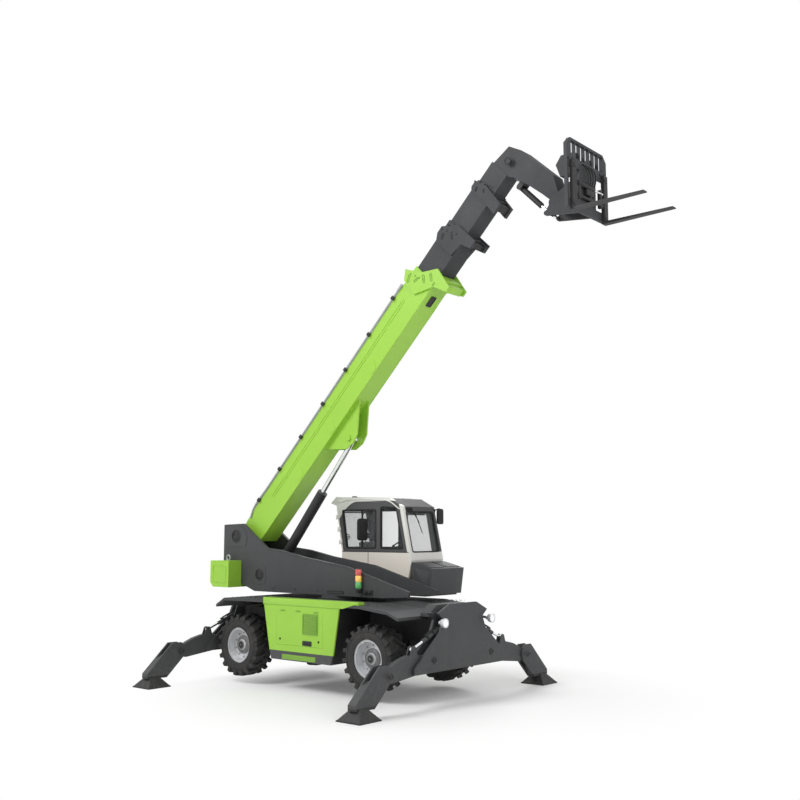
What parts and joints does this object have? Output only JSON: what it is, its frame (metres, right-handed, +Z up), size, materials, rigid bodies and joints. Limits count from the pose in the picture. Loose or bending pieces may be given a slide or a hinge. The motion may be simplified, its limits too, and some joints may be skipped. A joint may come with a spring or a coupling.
{
  "type": "rotating telehandler",
  "caption": "Rotating telehandler on stabilisers with a telescopic boom raised, fork carriage, side cab, turret and steered wheels.",
  "frame": {"origin": "on the ground, midway along the whole machine and on its centre line", "axes": "+X forward to the forks, +Y to the cab side (left), +Z up"},
  "size_m": [9.65, 5.49, 9.3851],
  "materials": {
    "green_paint": "gloss lime green",
    "grey_paint": "satin dark grey",
    "black_paint": "satin black",
    "cab_paint": "satin warm off-white",
    "rim_paint": "satin silver-white",
    "tyre": "matt",
    "chrome_rod": "polished",
    "seat_fabric": "woven",
    "engine_iron": "as cast",
    "trim_plastic": "matt textured"
  },
  "bodies": {
    "chassis": {"chassis_frame": "black_paint", "deck": "grey_paint", "engine_housing": "green_paint", "engine": "engine_iron", "tank_left": "green_paint", "front_axle": "black_paint", "rear_axle": "black_paint", "front_stabiliser_box": "grey_paint", "rear_stabiliser_box": "grey_paint"},
    "engine_door": {"engine_door": "green_paint"},
    "turret": {"turret_frame": "grey_paint", "counterweight": "green_paint", "turret_locker": "green_paint", "cab_shell": "cab_paint", "cab_front_box": "grey_paint", "seat": "seat_fabric", "console": "trim_plastic"},
    "cab_door": {"cab_door": "cab_paint"},
    "steering_wheel": {"steering_wheel": "trim_plastic"},
    "boom_base": {"boom_base": "green_paint"},
    "boom_2": {"boom_2": "grey_paint"},
    "boom_3": {"boom_3": "grey_paint"},
    "boom_4": {"boom_4": "grey_paint"},
    "carriage": {"carriage": "grey_paint", "fork_left": "black_paint", "fork_right": "black_paint"},
    "lift_barrel": {"lift_barrel": "grey_paint"},
    "lift_rod": {"lift_rod": "chrome_rod"},
    "tilt_barrel": {"tilt_barrel": "grey_paint"},
    "tilt_rod": {"tilt_rod": "chrome_rod"},
    "knuckle_fl": {"knuckle_fl": "black_paint"},
    "wheel_fl": {"rim_fl": "rim_paint", "tyre_fl": "tyre"},
    "stabiliser_arm_fl": {"stabiliser_arm_fl": "grey_paint"},
    "stabiliser_leg_fl": {"stabiliser_leg_fl": "grey_paint"},
    "stabiliser_barrel_fl": {"stabiliser_barrel_fl": "grey_paint"},
    "stabiliser_rod_fl": {"stabiliser_rod_fl": "chrome_rod"},
    "knuckle_fr": {"knuckle_fr": "black_paint"},
    "wheel_fr": {"rim_fr": "rim_paint", "tyre_fr": "tyre"},
    "stabiliser_arm_fr": {"stabiliser_arm_fr": "grey_paint"},
    "stabiliser_leg_fr": {"stabiliser_leg_fr": "grey_paint"},
    "stabiliser_barrel_fr": {"stabiliser_barrel_fr": "grey_paint"},
    "stabiliser_rod_fr": {"stabiliser_rod_fr": "chrome_rod"},
    "knuckle_rl": {"knuckle_rl": "black_paint"},
    "wheel_rl": {"rim_rl": "rim_paint", "tyre_rl": "tyre"},
    "stabiliser_arm_rl": {"stabiliser_arm_rl": "grey_paint"},
    "stabiliser_leg_rl": {"stabiliser_leg_rl": "grey_paint"},
    "stabiliser_barrel_rl": {"stabiliser_barrel_rl": "grey_paint"},
    "stabiliser_rod_rl": {"stabiliser_rod_rl": "chrome_rod"},
    "knuckle_rr": {"knuckle_rr": "black_paint"},
    "wheel_rr": {"rim_rr": "rim_paint", "tyre_rr": "tyre"},
    "stabiliser_arm_rr": {"stabiliser_arm_rr": "grey_paint"},
    "stabiliser_leg_rr": {"stabiliser_leg_rr": "grey_paint"},
    "stabiliser_barrel_rr": {"stabiliser_barrel_rr": "grey_paint"},
    "stabiliser_rod_rr": {"stabiliser_rod_rr": "chrome_rod"}
  },
  "joints": [
    {"name": "slew", "type": "hinge", "parent": "chassis", "child": "turret", "pos_m": [-1.795, 0, 1.6], "axis": [0, 0, 1], "continuous": true},
    {"name": "boom_lift", "type": "hinge", "parent": "turret", "child": "boom_base", "pos_m": [-4.435, 0, 2.73], "axis": [0, -1, 0], "range_deg": [-45.5, 34.5]},
    {"name": "tele_2", "type": "slide", "parent": "boom_base", "child": "boom_2", "axis": [0.7009, 0, 0.7133], "range_m": [-0.3, 4.2]},
    {"name": "tele_3", "type": "slide", "parent": "boom_2", "child": "boom_3", "axis": [0.7009, 0, 0.7133], "range_m": [-0.3, 4.2]},
    {"name": "tele_4", "type": "slide", "parent": "boom_3", "child": "boom_4", "axis": [0.7009, 0, 0.7133], "range_m": [-0.3, 4.2]},
    {"name": "fork_tilt", "type": "hinge", "parent": "boom_4", "child": "carriage", "pos_m": [3.06959, 0, 8.18385], "axis": [0, 1, 0], "range_deg": [-50, 60]},
    {"name": "lift_barrel_swing", "type": "hinge", "parent": "turret", "child": "lift_barrel", "pos_m": [-3.715, 0, 1.98], "axis": [0, -1, 0], "range_deg": [-46, 35]},
    {"name": "lift_rod_slide", "type": "slide", "parent": "lift_barrel", "child": "lift_rod", "axis": [0.6371, 0, 0.7708], "range_m": [-0.78, 0.6]},
    {"name": "tilt_barrel_swing", "type": "hinge", "parent": "boom_4", "child": "tilt_barrel", "pos_m": [2.30888, 0, 8.65099], "axis": [0, -1, 0], "range_deg": [-2, 3]},
    {"name": "tilt_rod_slide", "type": "slide", "parent": "tilt_barrel", "child": "tilt_rod", "axis": [0.697, 0, -0.7171], "range_m": [-0.2, 0.17]},
    {"name": "steer_fl", "type": "hinge", "parent": "chassis", "child": "knuckle_fl", "pos_m": [-0.15, 0.71, 0.696], "axis": [0, 0, 1], "range_deg": [-30, 30]},
    {"name": "spin_fl", "type": "hinge", "parent": "knuckle_fl", "child": "wheel_fl", "pos_m": [-0.15, 0.97, 0.696], "axis": [0, 1, 0], "continuous": true},
    {"name": "steer_fr", "type": "hinge", "parent": "chassis", "child": "knuckle_fr", "pos_m": [-0.15, -0.71, 0.696], "axis": [0, 0, 1], "range_deg": [-30, 30]},
    {"name": "spin_fr", "type": "hinge", "parent": "knuckle_fr", "child": "wheel_fr", "pos_m": [-0.15, -0.97, 0.696], "axis": [0, 1, 0], "continuous": true},
    {"name": "steer_rl", "type": "hinge", "parent": "chassis", "child": "knuckle_rl", "pos_m": [-3.44, 0.71, 0.696], "axis": [0, 0, 1], "range_deg": [-30, 30]},
    {"name": "spin_rl", "type": "hinge", "parent": "knuckle_rl", "child": "wheel_rl", "pos_m": [-3.44, 0.97, 0.696], "axis": [0, 1, 0], "continuous": true},
    {"name": "steer_rr", "type": "hinge", "parent": "chassis", "child": "knuckle_rr", "pos_m": [-3.44, -0.71, 0.696], "axis": [0, 0, 1], "range_deg": [-30, 30]},
    {"name": "spin_rr", "type": "hinge", "parent": "knuckle_rr", "child": "wheel_rr", "pos_m": [-3.44, -0.97, 0.696], "axis": [0, 1, 0], "continuous": true},
    {"name": "arm_fl", "type": "hinge", "parent": "chassis", "child": "stabiliser_arm_fl", "pos_m": [0.885, 0.8, 0.74], "axis": [1, 0, 0], "range_deg": [0, 32]},
    {"name": "leg_fl", "type": "hinge", "parent": "stabiliser_arm_fl", "child": "stabiliser_leg_fl", "pos_m": [0.885, 1.92, 0.6], "axis": [1, 0, 0], "range_deg": [-91, 1]},
    {"name": "jack_swing_fl", "type": "hinge", "parent": "chassis", "child": "stabiliser_barrel_fl", "pos_m": [0.885, 0.4, 1.262], "axis": [1, 0, 0], "range_deg": [-1, 12]},
    {"name": "jack_rod_fl", "type": "slide", "parent": "stabiliser_barrel_fl", "child": "stabiliser_rod_fl", "axis": [0, 0.9351, -0.3543], "range_m": [-0.24, 0.01]},
    {"name": "arm_fr", "type": "hinge", "parent": "chassis", "child": "stabiliser_arm_fr", "pos_m": [0.885, -0.8, 0.74], "axis": [-1, 0, 0], "range_deg": [0, 32]},
    {"name": "leg_fr", "type": "hinge", "parent": "stabiliser_arm_fr", "child": "stabiliser_leg_fr", "pos_m": [0.885, -1.92, 0.6], "axis": [-1, 0, 0], "range_deg": [-91, 1]},
    {"name": "jack_swing_fr", "type": "hinge", "parent": "chassis", "child": "stabiliser_barrel_fr", "pos_m": [0.885, -0.4, 1.262], "axis": [-1, 0, 0], "range_deg": [-1, 12]},
    {"name": "jack_rod_fr", "type": "slide", "parent": "stabiliser_barrel_fr", "child": "stabiliser_rod_fr", "axis": [0, -0.9351, -0.3543], "range_m": [-0.24, 0.01]},
    {"name": "arm_rl", "type": "hinge", "parent": "chassis", "child": "stabiliser_arm_rl", "pos_m": [-4.265, 0.8, 0.74], "axis": [1, 0, 0], "range_deg": [0, 32]},
    {"name": "leg_rl", "type": "hinge", "parent": "stabiliser_arm_rl", "child": "stabiliser_leg_rl", "pos_m": [-4.265, 1.92, 0.6], "axis": [1, 0, 0], "range_deg": [-91, 1]},
    {"name": "jack_swing_rl", "type": "hinge", "parent": "chassis", "child": "stabiliser_barrel_rl", "pos_m": [-4.265, 0.4, 1.262], "axis": [1, 0, 0], "range_deg": [-1, 12]},
    {"name": "jack_rod_rl", "type": "slide", "parent": "stabiliser_barrel_rl", "child": "stabiliser_rod_rl", "axis": [0, 0.9351, -0.3543], "range_m": [-0.24, 0.01]},
    {"name": "arm_rr", "type": "hinge", "parent": "chassis", "child": "stabiliser_arm_rr", "pos_m": [-4.265, -0.8, 0.74], "axis": [-1, 0, 0], "range_deg": [0, 32]},
    {"name": "leg_rr", "type": "hinge", "parent": "stabiliser_arm_rr", "child": "stabiliser_leg_rr", "pos_m": [-4.265, -1.92, 0.6], "axis": [-1, 0, 0], "range_deg": [-91, 1]},
    {"name": "jack_swing_rr", "type": "hinge", "parent": "chassis", "child": "stabiliser_barrel_rr", "pos_m": [-4.265, -0.4, 1.262], "axis": [-1, 0, 0], "range_deg": [-1, 12]},
    {"name": "jack_rod_rr", "type": "slide", "parent": "stabiliser_barrel_rr", "child": "stabiliser_rod_rr", "axis": [0, -0.9351, -0.3543], "range_m": [-0.24, 0.01]},
    {"name": "cab_door_hinge", "type": "hinge", "parent": "turret", "child": "cab_door", "pos_m": [-1.4947, 1.4, 2.4], "axis": [0, 0, 1], "range_deg": [0, 75]},
    {"name": "engine_door_hinge", "type": "hinge", "parent": "chassis", "child": "engine_door", "pos_m": [-1.765, -1.2, 1.3994], "axis": [-1, 0, 0], "range_deg": [0, 75]},
    {"name": "steering", "type": "hinge", "parent": "turret", "child": "steering_wheel", "pos_m": [-1.195, 0.925, 2.56], "axis": [0.5299, 0, -0.848], "continuous": true}
  ],
  "couplings": [
    {"joint": "tele_3", "follows": "tele_2", "ratio": 1},
    {"joint": "tele_4", "follows": "tele_2", "ratio": 1},
    {"joint": "lift_barrel_swing", "follows": "boom_lift", "ratio": 0.995},
    {"joint": "lift_rod_slide", "follows": "boom_lift", "m_per_rad": 0.955},
    {"joint": "tilt_barrel_swing", "follows": "fork_tilt", "ratio": 0.02},
    {"joint": "tilt_rod_slide", "follows": "fork_tilt", "m_per_rad": -0.185},
    {"joint": "steer_fr", "follows": "steer_fl", "ratio": 1},
    {"joint": "steer_rr", "follows": "steer_rl", "ratio": 1},
    {"joint": "leg_fl", "follows": "arm_fl", "ratio": -2.8},
    {"joint": "jack_swing_fl", "follows": "arm_fl", "ratio": 0.349},
    {"joint": "jack_rod_fl", "follows": "arm_fl", "m_per_rad": -0.4},
    {"joint": "leg_fr", "follows": "arm_fr", "ratio": -2.8},
    {"joint": "jack_swing_fr", "follows": "arm_fr", "ratio": 0.349},
    {"joint": "jack_rod_fr", "follows": "arm_fr", "m_per_rad": -0.4},
    {"joint": "leg_rl", "follows": "arm_rl", "ratio": -2.8},
    {"joint": "jack_swing_rl", "follows": "arm_rl", "ratio": 0.349},
    {"joint": "jack_rod_rl", "follows": "arm_rl", "m_per_rad": -0.4},
    {"joint": "leg_rr", "follows": "arm_rr", "ratio": -2.8},
    {"joint": "jack_swing_rr", "follows": "arm_rr", "ratio": 0.349},
    {"joint": "jack_rod_rr", "follows": "arm_rr", "m_per_rad": -0.4}
  ]
}
